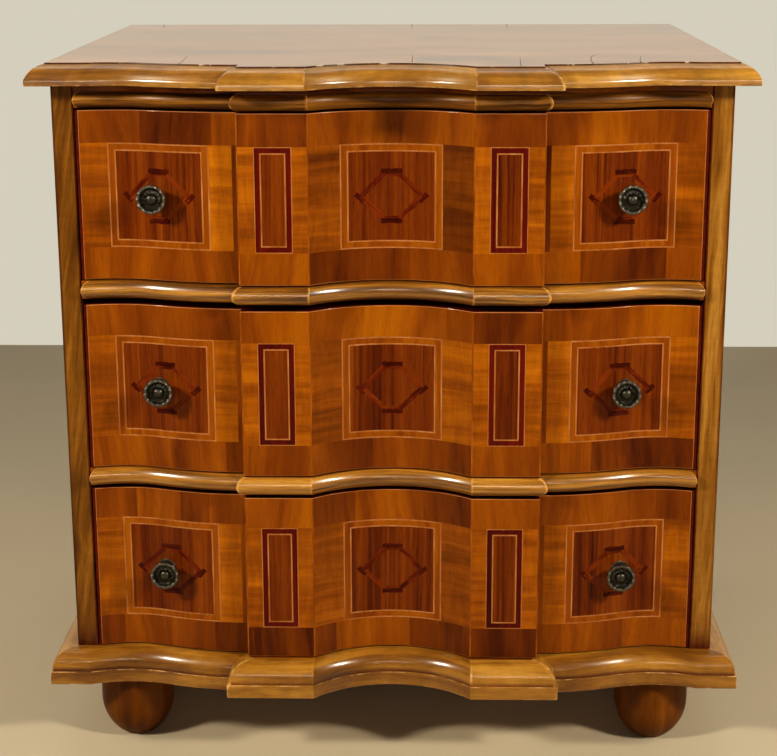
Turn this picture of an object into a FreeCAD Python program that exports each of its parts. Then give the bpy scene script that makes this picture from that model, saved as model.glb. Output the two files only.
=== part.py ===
import FreeCAD, Part
import math
import os

V = FreeCAD.Vector

# All sizes are millimetres. x runs to the right, y towards the back and z up, with z = 0 on the floor.
# While pieces are made, y = 0 is the front face of the corner stiles.

# Carcass
carcass_width = 752.0
carcass_depth = 566.0
stile_width = 25.0
stile_depth = 70.0
stile_arris = 2.0
side_thickness = 19.0
back_thickness = 8.0
bottom_thickness = 20.0
rail_depth = 70.0
rail_height = 21.0
frieze_height = 26.0

# Shaped front of drawers and rails, measured from the stile faces
centre_half = 91.0
block_width = 77.5
recess_inset = 43.0
recess_depth = 6.0
wing_swell = 18.0
block_projection = 31.0
centre_sagitta = 33.0
hollow_share = 0.3

# Top board and its ovolo moulding
top_thickness = 24.0
top_overhang = 4.0
top_block_inset = 3.5
top_back_overhang = 8.0
top_recess_depth = 4.0
top_wing_swell = 26.0
top_block_projection = 50.0
top_centre_sagitta = 42.0
top_moulding_width = 20.0
top_quirk = 1.5
top_fillet_height = 8.0
top_fillet_step = 0.8
top_ovolo_bulge = 2.9

# Base frame and plinth moulding
base_rail_height = 18.0
base_rail_width = 95.0
base_side_width = 60.0
plinth_block_inset = 4.5
plinth_recess_depth = 9.0
plinth_wing_swell = 14.0
plinth_block_projection = 34.0
plinth_centre_sagitta = 40.0
plinth_width = 28.0
plinth_shoulder = 10.0
plinth_fall = 1.0
plinth_face_rise = 6.0
plinth_fillet_height = 16.0
plinth_fillet_step = 2.0
plinth_ovolo_bulge = 4.6

# Half-round beads
bead_projection = 9.0
frieze_bead_height = 17.5
frieze_bead_projection = 7.0

# Feet
foot_height = 84.0
foot_round_height = 46.0
foot_radius = 43.5
foot_end_radius = 20.0
foot_inset_x = 64.0
front_foot_inset = 34.0
back_foot_inset = 50.0

# Drawer fronts, from the floor upwards
bottom_front_height = 196.0
middle_front_height = 193.0
top_front_height = 191.0
bottom_gap_above = 4.0
middle_gap_above = 7.0
top_gap_above = 2.5
front_gap_below = 1.5
front_gap_side = 1.0
front_thickness = 22.0

# Drawer boxes
drawer_back_gap = 15.0
drawer_side_thickness = 12.0
drawer_side_drop = 5.0
drawer_back_thickness = 11.0
drawer_back_drop = 8.0
drawer_bottom_thickness = 8.0
drawer_bottom_rise = 9.0
groove_depth = 6.0
panel_clearance = 0.4
slide_clearance = 0.3
tail_count = 3
tail_base_share = 0.5
tail_end_share = 0.7
front_lap = 14.0

# Runners, guides, kickers and stops
runner_width = 40.0
guide_height = 25.0
kicker_width = 30.0
stop_width = 40.0
stop_depth = 20.0
stop_height = 5.0
stop_from_centre = 200.0

# Knobs
knob_from_centre = 265.0
knob_radius = 16.3
knob_reach = 27.0
knob_head_depth = 13.0
knob_back_radius = 12.5
knob_rim_height = 6.0
knob_dish_depth = 3.0
spindle_radius = 4.5
spindle_hole_clearance = 0.3
nut_half_flats = 6.5
nut_height = 6.0

# Working values
round_chord_count = 3
bead_chord_count = 3
foot_chord_count = 2
overrun = 5.0

# Widths across the front
carcass_half = carcass_width / 2
opening_half = carcass_half - stile_width
recess_x = opening_half - recess_inset
block_half = centre_half + block_width
panel_inner = carcass_half - side_thickness
top_half = carcass_half + top_overhang
top_back_y = carcass_depth + top_back_overhang
back_panel_y = carcass_depth - back_thickness

# Heights from the floor
plinth_z0 = foot_height
bottom_board_z0 = plinth_z0 + base_rail_height
bottom_board_z1 = bottom_board_z0 + bottom_thickness


def stack_drawers():
    """Heights of each drawer's seat and front, worked upwards from the bottom board."""
    rows = (
        ("bottom_drawer", bottom_front_height, bottom_gap_above),
        ("middle_drawer", middle_front_height, middle_gap_above),
        ("top_drawer", top_front_height, top_gap_above),
    )
    levels = []
    seat = bottom_board_z1
    for name, height, gap_above in rows:
        front_z0 = seat + front_gap_below
        front_z1 = front_z0 + height
        ceiling = front_z1 + gap_above
        levels.append({"name": name, "seat": seat, "z0": front_z0, "z1": front_z1, "ceiling": ceiling})
        seat = ceiling + rail_height
    return levels


levels = stack_drawers()
lower_rail_z0 = levels[0]["ceiling"]
upper_rail_z0 = levels[1]["ceiling"]
frieze_z0 = levels[2]["ceiling"]
top_z0 = frieze_z0 + frieze_height
top_z1 = top_z0 + top_thickness


def box(x0, x1, y0, y1, z0, z1):
    return Part.makeBox(x1 - x0, y1 - y0, z1 - z0, V(x0, y0, z0))


def mirrored(shape):
    return shape.mirror(V(0, 0, 0), V(1, 0, 0))


def both_sides(shape):
    return [shape, mirrored(shape)]


def closed_face(points):
    return Part.Face(Part.makePolygon(points + points[:1]))


def prism(points, z0, z1):
    return closed_face([V(x, y, z0) for x, y in points]).extrude(V(0, 0, z1 - z0))


def segment(start, end):
    return Part.LineSegment(start, end).toShape()


def arc(start, middle, end):
    return Part.Arc(start, middle, end).toShape()


class FrontLine:
    """Plan of a shaped front: hollow wings, square blocks and a hollow centre bay."""

    def __init__(self, base_y, recess, swell, block, sagitta, block_edge):
        self.base_y = base_y
        self.block_half = block_edge
        self.hollow_y = base_y + recess
        self.swell_y = base_y - swell
        self.block_y = base_y - block
        self.centre_y = self.block_y + sagitta
        run = recess_x - block_edge
        rise = recess + swell
        radii = (run ** 2 + rise ** 2) / (2 * rise)
        self.hollow_radius = radii * hollow_share
        self.swell_radius = radii - self.hollow_radius
        self.turn = 2 * math.atan2(rise, run)
        self.bend_x = recess_x - self.hollow_radius * math.sin(self.turn)
        reach = math.sqrt(self.hollow_radius ** 2 - (self.hollow_radius - recess) ** 2)
        self.hollow_start = recess_x + reach

    def wing_y(self, x):
        """Depth of the right wing at x: straight, then hollow, then swelling forward."""
        if x > self.hollow_start:
            return self.base_y
        if x > self.bend_x:
            drop = self.hollow_radius - math.sqrt(self.hollow_radius ** 2 - (x - recess_x) ** 2)
            return self.hollow_y - drop
        drop = self.swell_radius - math.sqrt(self.swell_radius ** 2 - (x - self.block_half) ** 2)
        return self.swell_y + drop

    def at(self, x):
        return V(x, self.wing_y(x), 0)

    def wing_edges(self, outer_x):
        """Edges of the right wing, from outer_x in to the block."""
        start_x = min(outer_x, self.hollow_start)
        edges = []
        if outer_x > start_x:
            edges.append(segment(self.at(outer_x), V(start_x, self.base_y, 0)))
        bend = self.at(self.bend_x)
        start = V(start_x, self.wing_y(start_x), 0)
        edges.append(arc(start, self.at((start_x + self.bend_x) / 2), bend))
        edges.append(arc(bend, self.at((self.bend_x + self.block_half) / 2), self.at(self.block_half)))
        return edges

    def centre_edge(self):
        left = V(-centre_half, self.block_y, 0)
        right = V(centre_half, self.block_y, 0)
        return arc(left, V(0, self.centre_y, 0), right)


def front_board(line, half_width, back_y, z0, z1):
    """A board whose front edge follows the line and whose back edge is straight."""
    inner = V(centre_half, line.block_y, 0)
    outer = V(line.block_half, line.block_y, 0)
    right = line.wing_edges(half_width)
    right.append(segment(line.at(line.block_half), outer))
    right.append(segment(outer, inner))
    right.append(segment(line.at(half_width), V(half_width, back_y, 0)))
    edges = right + [mirrored(edge) for edge in right]
    edges.append(line.centre_edge())
    edges.append(segment(V(-half_width, back_y, 0), V(half_width, back_y, 0)))
    outline = Part.Wire(Part.__sortEdges__(edges))
    outline.translate(V(0, 0, z0))
    return Part.Face(outline).extrude(V(0, 0, z1 - z0))


def round_points(start, end, bulge, chord_count):
    """Points along a round moulding between two section points, bulging outwards by bulge."""
    across = end[0] - start[0]
    down = end[1] - start[1]
    length = math.hypot(across, down)
    middle_u = (start[0] + end[0]) / 2 - down / length * bulge
    middle_z = (start[1] + end[1]) / 2 + across / length * bulge
    curve = Part.Arc(V(start[0], start[1], 0), V(middle_u, middle_z, 0), V(end[0], end[1], 0)).toShape()
    return [(point.x, point.y) for point in curve.discretize(Number=chord_count + 1)]


def top_section():
    """Ovolo and fillet round the top board, as (projection, height) points."""
    ovolo_end = (top_moulding_width - top_fillet_step, top_z0 + top_fillet_height)
    ovolo = round_points((0, top_z1 - top_quirk), ovolo_end, top_ovolo_bulge, round_chord_count)
    fillet = [(top_moulding_width, top_z0 + top_fillet_height), (top_moulding_width, top_z0)]
    return [(0, top_z0)] + ovolo + fillet


def plinth_section():
    """Flat ledge, rounded shoulder and square fillet of the plinth."""
    face_u = plinth_width - plinth_fillet_step
    fillet_z = plinth_z0 + plinth_fillet_height
    shoulder = (plinth_shoulder, bottom_board_z1 - plinth_fall)
    face_top = (face_u, fillet_z + plinth_face_rise)
    rounded = round_points(shoulder, face_top, plinth_ovolo_bulge, round_chord_count)
    fillet = [(face_u, fillet_z), (plinth_width, fillet_z), (plinth_width, plinth_z0)]
    return [(0, plinth_z0), (0, bottom_board_z1)] + rounded + fillet


def bead_section(z0, z1, projection):
    return round_points((0, z1), (0, z0), projection, bead_chord_count)


def nose(section):
    return max(u for u, z in section)


def sweep_front(edges, start, section):
    """Carry a section along front edges without turning it."""
    loop = [V(start.x, start.y - u, z) for u, z in section]
    pipe = Part.BRepOffsetAPI.MakePipeShell(Part.Wire(edges))
    pipe.setTrihedronMode(V(0, 0, 0), V(0, 0, 1))
    pipe.add(Part.makePolygon(loop + loop[:1]))
    pipe.build()
    pipe.makeSolid()
    return pipe.shape()


def run_along_x(section, x0, x1, y):
    return closed_face([V(x0, y - u, z) for u, z in section]).extrude(V(x1 - x0, 0, 0))


def run_along_y(section, x, y0, y1):
    return closed_face([V(x + u, y0, z) for u, z in section]).extrude(V(0, y1 - y0, 0))


def mitre(front_run, side_run, x, y, reach):
    """Cut a front run and a right-hand side run to a square mitre at the corner (x, y)."""
    tip = (x + reach, y - reach)
    side_wedge = prism([(x, y), tip, (x + reach, y)], 0, top_z1 + overrun)
    front_wedge = prism([(x, y), tip, (x, y - reach)], 0, top_z1 + overrun)
    return front_run.cut(side_wedge), side_run.cut(front_wedge)


def block_moulding(line, section):
    """Right-hand block length with its moulding returned round the outer end."""
    width = nose(section)
    edge_x = line.block_half
    front = run_along_x(section, centre_half, edge_x + width, line.block_y)
    side = run_along_y(section, edge_x, line.block_y - width, line.wing_y(edge_x + width))
    front, side = mitre(front, side, edge_x, line.block_y, width + overrun)
    return front.fuse(side).removeSplitter()


def centre_moulding(line, section):
    return sweep_front([line.centre_edge()], V(-centre_half, line.block_y, 0), section)


def edge_mouldings(line, section, corner_x, back_y):
    """Lengths round a board's edge: right side, right wing, right block and centre."""
    width = nose(section)
    block = block_moulding(line, section)
    outer_x = corner_x + width
    wing = sweep_front(line.wing_edges(outer_x), line.at(outer_x), section)
    side = run_along_y(section, corner_x, line.base_y - width, back_y)
    wing, side = mitre(wing, side, corner_x, line.base_y, width + overrun)
    return {"side": side, "wing": wing.cut(block), "block": block, "centre": centre_moulding(line, section)}


def bead_lengths(line, section):
    """Bead along the shaped front: wings returned at the stiles, blocks returned at both ends of the step."""
    width = nose(section)
    block = block_moulding(line, section)
    wing = sweep_front(line.wing_edges(opening_half), line.at(opening_half), section)
    low = min(z for u, z in section)
    high = max(z for u, z in section)
    return_x = opening_half - width
    end_loop = [(centre_half, low), (centre_half, high)] + [(return_x + u, z) for u, z in section]
    end_y = line.block_y - width
    end_form = closed_face([V(x, end_y, z) for x, z in end_loop]).extrude(V(0, line.hollow_y - end_y, 0))
    wing = wing.common(end_form).cut(block)
    return {"wings": both_sides(wing), "blocks": both_sides(block), "centre": centre_moulding(line, section)}


carcass_line = FrontLine(0, recess_depth, wing_swell, block_projection, centre_sagitta, block_half)
plinth_line = FrontLine(0, plinth_recess_depth, plinth_wing_swell, plinth_block_projection,
                        plinth_centre_sagitta, block_half - plinth_block_inset)
top_line = FrontLine(-top_overhang, top_recess_depth, top_wing_swell, top_block_projection,
                     top_centre_sagitta, block_half - top_block_inset)
front_back_y = carcass_line.hollow_y + front_thickness
drawer_end_y = back_panel_y - drawer_back_gap

nodes = {}


def add(name, *solids):
    nodes[name] = list(solids)


def make_top():
    section = top_section()
    lengths = edge_mouldings(top_line, section, top_half, top_back_y)
    blocks = both_sides(lengths["block"])
    board = front_board(top_line, top_half, top_back_y, top_z0, top_z1)
    add("top_board", board.cut(blocks[0]).cut(blocks[1]))
    add("top_moulding_sides", *both_sides(lengths["side"]))
    add("top_moulding_wings", *both_sides(lengths["wing"]))
    add("top_moulding_blocks", *blocks)
    add("top_moulding_centre", lengths["centre"])


def make_base():
    section = plinth_section()
    lengths = edge_mouldings(plinth_line, section, carcass_half, carcass_depth)
    blocks = both_sides(lengths["block"])
    board = front_board(plinth_line, carcass_half, carcass_depth, bottom_board_z0, bottom_board_z1)
    front = front_board(plinth_line, carcass_half, base_rail_width, plinth_z0, bottom_board_z0)
    back_y = carcass_depth - base_rail_width
    back = box(-carcass_half, carcass_half, back_y, carcass_depth, plinth_z0, bottom_board_z0)
    side = box(carcass_half - base_side_width, carcass_half, base_rail_width, back_y, plinth_z0, bottom_board_z0)
    add("bottom_board", board.cut(blocks[0]).cut(blocks[1]))
    add("base_front_rail", front.cut(blocks[0]).cut(blocks[1]))
    add("base_back_rail", back)
    add("base_side_rails", *both_sides(side))
    add("plinth_sides", *both_sides(lengths["side"]))
    add("plinth_wings", *both_sides(lengths["wing"]))
    add("plinth_blocks", *blocks)
    add("plinth_centre", lengths["centre"])


def revolved(profile):
    """Turn (radius, height) points round the z axis."""
    points = [V(radius, 0, height) for radius, height in profile]
    return closed_face(points).revolve(V(0, 0, 0), V(0, 0, 1), 360)


def make_feet():
    """Each foot is one turning: a round bun, upright above and drawn in to a small flat below."""
    feet = []
    run = foot_radius - foot_end_radius
    chord = math.hypot(run, foot_round_height)
    turn_radius = chord ** 2 / (2 * run)
    bulge = turn_radius - math.sqrt(turn_radius ** 2 - (chord / 2) ** 2)
    rounded = round_points((foot_radius, foot_round_height), (foot_end_radius, 0), bulge, foot_chord_count)
    foot = revolved([(0, 0), (0, foot_height), (foot_radius, foot_height)] + rounded)
    x = carcass_half - foot_inset_x
    for y in (front_foot_inset, carcass_depth - back_foot_inset):
        feet.extend(both_sides(foot.translated(V(x, y, 0))))
    add("feet", *feet)


def make_carcass():
    stile = box(opening_half, carcass_half, 0, stile_depth, bottom_board_z1, top_z0)
    arris = [edge for edge in stile.Edges
             if edge.CenterOfMass.y < stile_arris and edge.CenterOfMass.x > carcass_half - stile_arris]
    stile = stile.makeChamfer(stile_arris, arris)
    right, left = both_sides(stile)
    add("left_stile", left)
    add("right_stile", right)
    panel = box(panel_inner, carcass_half, stile_depth, carcass_depth, bottom_board_z1, top_z0)
    right, left = both_sides(panel)
    add("left_side_panel", left)
    add("right_side_panel", right)
    add("back_panel", box(-panel_inner, panel_inner, back_panel_y, carcass_depth, bottom_board_z1, top_z0))

    rails = (
        ("frieze", frieze_z0, frieze_height, frieze_bead_height, frieze_bead_projection),
        ("upper", upper_rail_z0, rail_height, rail_height, bead_projection),
        ("lower", lower_rail_z0, rail_height, rail_height, bead_projection),
    )
    for name, z0, height, bead_height, projection in rails:
        beads = bead_lengths(carcass_line, bead_section(z0, z0 + bead_height, projection))
        rail = front_board(carcass_line, opening_half, rail_depth, z0, z0 + height)
        for block in beads["blocks"]:
            rail = rail.cut(block)
        add(name + "_rail", rail)
        add(name + "_bead", *beads["wings"], *beads["blocks"], beads["centre"])


def make_runners():
    for name, z0 in (("upper_runners", upper_rail_z0), ("lower_runners", lower_rail_z0)):
        runner = box(panel_inner - runner_width, panel_inner, rail_depth, back_panel_y, z0, z0 + rail_height)
        add(name, *both_sides(runner))
    kicker = box(panel_inner - kicker_width, panel_inner, rail_depth, back_panel_y, frieze_z0, top_z0)
    add("top_kickers", *both_sides(kicker))
    guides = []
    stops = []
    stop_x0 = stop_from_centre - stop_width / 2
    stop_y0 = front_back_y + slide_clearance
    for level in levels:
        seat = level["seat"]
        guide = box(opening_half, panel_inner, stile_depth, back_panel_y, seat, seat + guide_height)
        stop = box(stop_x0, stop_x0 + stop_width, stop_y0, stop_y0 + stop_depth, seat, seat + stop_height)
        guides.extend(both_sides(guide))
        stops.extend(both_sides(stop))
    add("drawer_guides", *guides)
    add("drawer_stops", *stops)


def tails(x0, x1, root_y, tip_y, z0, z1):
    """Dovetails that widen from the root to the tip, spread evenly between two heights."""
    pitch = (z1 - z0) / tail_count
    solids = []
    for index in range(tail_count):
        middle = z0 + pitch * index + pitch / 2
        root = pitch * tail_base_share / 2
        tip = pitch * tail_end_share / 2
        corners = [(root_y, middle - root), (tip_y, middle - tip), (tip_y, middle + tip), (root_y, middle + root)]
        solids.append(closed_face([V(x0, y, z) for y, z in corners]).extrude(V(x1 - x0, 0, 0)))
    return solids


def make_drawer(level):
    name = level["name"]
    half = opening_half - front_gap_side
    inner = half - drawer_side_thickness
    side_z0 = level["seat"] + slide_clearance
    side_z1 = level["z1"] - drawer_side_drop
    panel_z0 = side_z0 + drawer_bottom_rise
    panel_z1 = panel_z0 + drawer_bottom_thickness
    back_z1 = side_z1 - drawer_back_drop
    back_y0 = drawer_end_y - drawer_back_thickness

    front_tails = tails(inner, half, front_back_y, front_back_y - front_lap, panel_z1, side_z1)
    back_tails = tails(inner, half, back_y0, drawer_end_y, panel_z1, back_z1)
    groove_half = inner + groove_depth
    groove = box(-groove_half, groove_half, front_back_y - groove_depth, drawer_end_y, panel_z0, panel_z1)

    side = box(inner, half, front_back_y, back_y0, side_z0, side_z1)
    side = side.fuse(box(inner, half, back_y0, drawer_end_y, side_z0, panel_z1))
    side = side.fuse(box(inner, half, back_y0, drawer_end_y, back_z1, side_z1))
    side = side.fuse(front_tails + back_tails).removeSplitter().cut(groove)
    right, left = both_sides(side)

    front = front_board(carcass_line, half, front_back_y, level["z0"], level["z1"])
    back = box(-half, half, back_y0, drawer_end_y, panel_z1, back_z1)
    for tail in front_tails:
        for socket in both_sides(tail):
            front = front.cut(socket)
    for tail in back_tails:
        for socket in both_sides(tail):
            back = back.cut(socket)
    front = front.cut(groove)
    panel_half = groove_half - panel_clearance
    panel_y0 = front_back_y - groove_depth + panel_clearance
    add(name + "_left_side", left)
    add(name + "_right_side", right)
    add(name + "_back", back)
    add(name + "_bottom", box(-panel_half, panel_half, panel_y0, drawer_end_y, panel_z0, panel_z1))
    fit_knobs(name, front, (level["z0"] + level["z1"]) / 2)


def fit_knobs(name, front, knob_z):
    """Two knobs, each a dished head on a spindle that passes through the front to a cap nut."""
    face_y = carcass_line.wing_y(knob_from_centre)
    nut_depth = front_back_y - face_y
    head_z0 = knob_reach - knob_head_depth
    spindle_length = nut_depth + head_z0
    spindle = Part.makeCylinder(spindle_radius, spindle_length, V(0, 0, -nut_depth))
    hole = Part.makeCylinder(spindle_radius + spindle_hole_clearance, spindle_length, V(0, 0, -nut_depth))
    head = revolved([
        (0, head_z0), (knob_back_radius, head_z0), (knob_radius, knob_reach - knob_rim_height),
        (knob_radius, knob_reach), (0, knob_reach - knob_dish_depth),
    ])
    corner = nut_half_flats / math.cos(math.pi / 6)
    flats = [(corner * math.cos(step * math.pi / 3), corner * math.sin(step * math.pi / 3)) for step in range(6)]
    nut = prism(flats, -nut_depth - nut_height, -nut_depth)

    def set_on_front(shape):
        turned = shape.rotated(V(0, 0, 0), V(1, 0, 0), 90)
        return turned.translated(V(knob_from_centre, face_y, knob_z))

    for shape in both_sides(set_on_front(hole)):
        front = front.cut(shape)
    add(name + "_front", front)
    add(name + "_knobs", *both_sides(set_on_front(head)))
    add(name + "_knob_posts", *both_sides(set_on_front(spindle)))
    add(name + "_knob_nuts", *both_sides(set_on_front(nut)))


def export():
    """Centre the part in depth between the block of the top moulding and the back of the top."""
    front_y = top_line.block_y - top_moulding_width
    shift = V(0, -(front_y + top_back_y) / 2, 0)
    os.makedirs("parts", exist_ok=True)
    for name, solids in nodes.items():
        shape = solids[0] if len(solids) == 1 else Part.makeCompound(solids)
        shape.translated(shift).exportStep("parts/" + name + ".step")


make_top()
make_base()
make_feet()
make_carcass()
make_runners()
for level in levels:
    make_drawer(level)
export()
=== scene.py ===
import math
import random

import bmesh
import bpy
from mathutils import Matrix, Vector


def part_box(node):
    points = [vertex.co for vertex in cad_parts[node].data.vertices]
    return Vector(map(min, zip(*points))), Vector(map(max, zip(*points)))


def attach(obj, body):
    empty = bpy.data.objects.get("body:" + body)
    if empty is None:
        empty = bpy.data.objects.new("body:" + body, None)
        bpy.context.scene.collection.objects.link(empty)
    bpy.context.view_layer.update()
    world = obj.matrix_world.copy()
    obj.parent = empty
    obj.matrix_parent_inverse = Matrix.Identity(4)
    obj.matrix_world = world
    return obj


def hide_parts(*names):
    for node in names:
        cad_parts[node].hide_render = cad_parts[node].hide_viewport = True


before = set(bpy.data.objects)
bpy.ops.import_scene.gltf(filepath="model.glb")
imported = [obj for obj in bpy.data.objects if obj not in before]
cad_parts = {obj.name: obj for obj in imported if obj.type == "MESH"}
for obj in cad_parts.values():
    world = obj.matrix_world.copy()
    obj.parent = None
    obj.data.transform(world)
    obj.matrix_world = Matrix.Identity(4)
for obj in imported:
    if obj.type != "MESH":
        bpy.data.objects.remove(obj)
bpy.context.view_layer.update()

# Sizes are millimetres, as in the CAD source. x runs to the right, z up, and y back from the stile faces.
MM = 0.001
STILE_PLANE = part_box("left_stile")[0].y / MM
SMOOTH_ANGLE = math.radians(34)
GRAIN_SPREAD = 40000

# Plan of the chest
CENTRE_HALF = 91.0
RECESS_X = 308.0
HOLLOW_SHARE = 0.3
BLOCK_HALF = 168.5
OPENING_HALF = 351.0
CARCASS_HALF = 376.0
CARCASS_DEPTH = 566.0
TOP_HALF = 380.0
TOP_BACK = 574.0
BEAD_PROJECTION = 9.0
FRIEZE_PROJECTION = 7.0

# Widths of the rub at the ends of the mouldings and at the corners of their blocks
RUB = 1.2
CORNER_WEAR = 1.2

dice = random.Random(11)


def height_range(node):
    """Underside and top of a node."""
    low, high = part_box(node)
    return low.z / MM, high.z / MM


class FrontLine:
    """Plan of a shaped front: hollow wings, square blocks and a hollow centre bay."""

    def __init__(self, base, recess, swell, block, sagitta, block_half):
        self.base = base
        self.block_half = block_half
        self.hollow_y = base + recess
        self.swell_y = base - swell
        self.block_y = base - block
        self.centre_y = self.block_y + sagitta
        self.centre_radius = (CENTRE_HALF ** 2 + sagitta ** 2) / (2 * sagitta)
        run = RECESS_X - block_half
        rise = recess + swell
        radii = (run ** 2 + rise ** 2) / (2 * rise)
        self.hollow_radius = radii * HOLLOW_SHARE
        self.swell_radius = radii - self.hollow_radius
        self.bend_x = RECESS_X - self.hollow_radius * math.sin(2 * math.atan2(rise, run))
        reach = math.sqrt(self.hollow_radius ** 2 - (self.hollow_radius - recess) ** 2)
        self.hollow_start = RECESS_X + reach

    def wing(self, x):
        if x > self.hollow_start:
            return self.base
        if x > self.bend_x:
            rise = math.sqrt(self.hollow_radius ** 2 - (x - RECESS_X) ** 2)
            return self.hollow_y - self.hollow_radius + rise
        rise = math.sqrt(self.swell_radius ** 2 - (x - self.block_half) ** 2)
        return self.swell_y + self.swell_radius - rise

    def centre(self, x):
        return self.centre_y - self.centre_radius + math.sqrt(self.centre_radius ** 2 - x ** 2)

    def depth(self, x):
        if x < CENTRE_HALF:
            return self.centre(x)
        if x < self.block_half:
            return self.block_y
        return self.wing(x)


carcass_line = FrontLine(base=0, recess=6, swell=18, block=31, sagitta=33, block_half=BLOCK_HALF)
plinth_line = FrontLine(base=0, recess=9, swell=14, block=34, sagitta=40, block_half=164.0)
top_line = FrontLine(base=-4, recess=4, swell=26, block=50, sagitta=42, block_half=165.0)


def add_object(name, data):
    thing = bpy.data.objects.new(name, data)
    bpy.context.scene.collection.objects.link(thing)
    return thing


class Shell:
    """Faces of one piece, with a grain coordinate on each corner: first along the grain, then across it."""

    def __init__(self):
        self.mesh = bmesh.new()
        self.grain = self.mesh.loops.layers.uv.new("grain")
        self.wear = self.mesh.verts.layers.float.new("wear")
        self.tone = self.mesh.faces.layers.float.new("tone")

    def point(self, x, y, z, wear=0.0):
        vert = self.mesh.verts.new((x * MM, (y + STILE_PLANE) * MM, z * MM))
        vert[self.wear] = wear
        return vert

    def face(self, verts, grain, material=0, tone=0.5):
        face = self.mesh.faces.new(verts)
        face.material_index = material
        face.smooth = True
        face[self.tone] = tone
        for loop, (along, across) in zip(face.loops, grain):
            loop[self.grain].uv = (along * MM, across * MM)

    def build(self, name, body, materials, replaces=()):
        bmesh.ops.recalc_face_normals(self.mesh, faces=self.mesh.faces)
        mesh = bpy.data.meshes.new(name)
        self.mesh.to_mesh(mesh)
        self.mesh.free()
        mesh.set_sharp_from_angle(angle=SMOOTH_ANGLE)
        for material in materials:
            mesh.materials.append(material)
        piece = add_object(name, mesh)
        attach(piece, body)
        if replaces:
            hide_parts(*replaces)


def quad(ring, following, here, after):
    return ring[here], ring[after], following[after], following[here]


def shuffle():
    """A random start for a piece's grain, so that no two pieces share a figure."""
    return dice.uniform(0, GRAIN_SPREAD), dice.uniform(0, GRAIN_SPREAD)


def running_lengths(points, start):
    """Length along a path at each of its points, counted on from a start."""
    lengths = [start]
    for before, here in zip(points, points[1:]):
        lengths.append(lengths[-1] + math.dist(before, here))
    return lengths


def sweep(shell, columns, section, tone, lean=0.0):
    """Join a closed section through (place, wear) columns, where wear below 0 paints shade; place carries a
    section point to its spot.
    """
    start, side = shuffle()
    straight, slant = math.cos(lean), math.sin(lean)

    def leaning(along, across):
        return along * straight - across * slant, along * slant + across * straight
    rings = [[shell.point(*column(u, z), max(wear, wear_and_shade_level, key=abs)) for u, z, wear in section]
             for column, wear_and_shade_level in columns]
    count = len(section)
    middle = section[count // 2][:2]
    lengths = running_lengths([column(*middle) for column, wear_and_shade_level in columns], start)
    across = running_lengths([point[:2] for point in section + section[:1]], side)
    for ring, following, a0, a1 in zip(rings, rings[1:], lengths, lengths[1:]):
        for index in range(count):
            after = (index + 1) % count
            c0, c1 = across[index], across[index + 1]
            grain = [leaning(*pair) for pair in ((a0, c0), (a0, c1), (a1, c1), (a1, c0))]
            shell.face(quad(ring, following, index, after), grain, tone=tone)
    for ring in (rings[0], rings[-1]):
        shell.face(ring, [(side + u, start + z) for u, z, wear in section], tone=tone)


def span(first, last, count):
    """Values in equal steps from first to last."""
    return [first + (last - first) * step / count for step in range(count + 1)]


def round_points(start, end, bulge, count, wear=0.0):
    """Points of a round moulding from start to end, bulging outwards, each with its wear, which below 0
    darkens the wood.
    """
    (x0, z0), (x1, z1) = start, end
    chord = math.dist(start, end)
    radius = (chord ** 2 / 4 + bulge ** 2) / (2 * bulge)
    centre_off = radius - bulge
    x = (x0 + x1) / 2 + (z1 - z0) / chord * centre_off
    z = (z0 + z1) / 2 - (x1 - x0) / chord * centre_off
    first = math.atan2(z0 - z, x0 - x)
    last = math.atan2(z1 - z, x1 - x)
    if last > first:
        last -= 2 * math.pi
    return [(x + radius * math.cos(turn), z + radius * math.sin(turn), wear)
            for turn in span(first, last, count)]


def arris(u, z, radius):
    """A worn square edge that faces outwards, from its upper to its front side."""
    return [(u - 2 * radius, z, 0.0), (u - radius, z, 0.6), (u - radius * 0.3, z - radius * 0.3, 1.0),
            (u, z - radius, 0.6), (u, z - 2 * radius, 0.0)]


def under_arris(u, z, radius):
    """A worn square edge at the foot of a front side."""
    return [(u, z + 2 * radius, 0.0), (u, z + radius, 0.5), (u - radius * 0.3, z + radius * 0.3, 0.8),
            (u - radius, z, 0.3)]


# Sections of the mouldings: points are out from the board's edge and up from the moulding's underside.
ROUND_STEPS = 14
TOP_WIDTH = 20.0
TOP_OVOLO_END = (18.6, 8.6)
TOP_OVOLO_BULGE = 3.1
TOP_NOSE = ((19.2, 7.6), (TOP_WIDTH, 5.0))
TOP_NOSE_BULGE = 0.25
TOP_NOSE_STEPS = 3
TOP_UNDER_ARRIS = 1.1
PLINTH_WIDTH = 28.0
PLINTH_SHOULDER = 9.0
PLINTH_DROP = 0.4
PLINTH_FACE = (26.0, 21.0)
PLINTH_BULGE = 4.8
PLINTH_FILLET = 16.0
PLINTH_ROOT = ((26.0, 16.4), (26.2, 16.1))
PLINTH_ARRIS = 0.6
PLINTH_UNDER_ARRIS = 0.9
# Painted shade in the root of the plinth, between its ovolo and fillet
ROOT_PAINTED_SHADE = -0.9
# Painted shade where a bead meets its rail
BEAD_ROOT_PAINTED_SHADE = -0.8


def top_section():
    """Ovolo that falls to a short upright nose."""
    z0, z1 = height_range("top_moulding_wings")
    end_x, end_z = TOP_OVOLO_END
    ovolo = round_points((0, z1), (end_x, z0 + end_z), TOP_OVOLO_BULGE, ROUND_STEPS)
    nose_ends = [(x, z0 + z) for x, z in TOP_NOSE]
    nose = round_points(*nose_ends, TOP_NOSE_BULGE, TOP_NOSE_STEPS)
    return [(0, z0, 0)] + ovolo + nose + under_arris(TOP_WIDTH, z0, TOP_UNDER_ARRIS)


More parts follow.
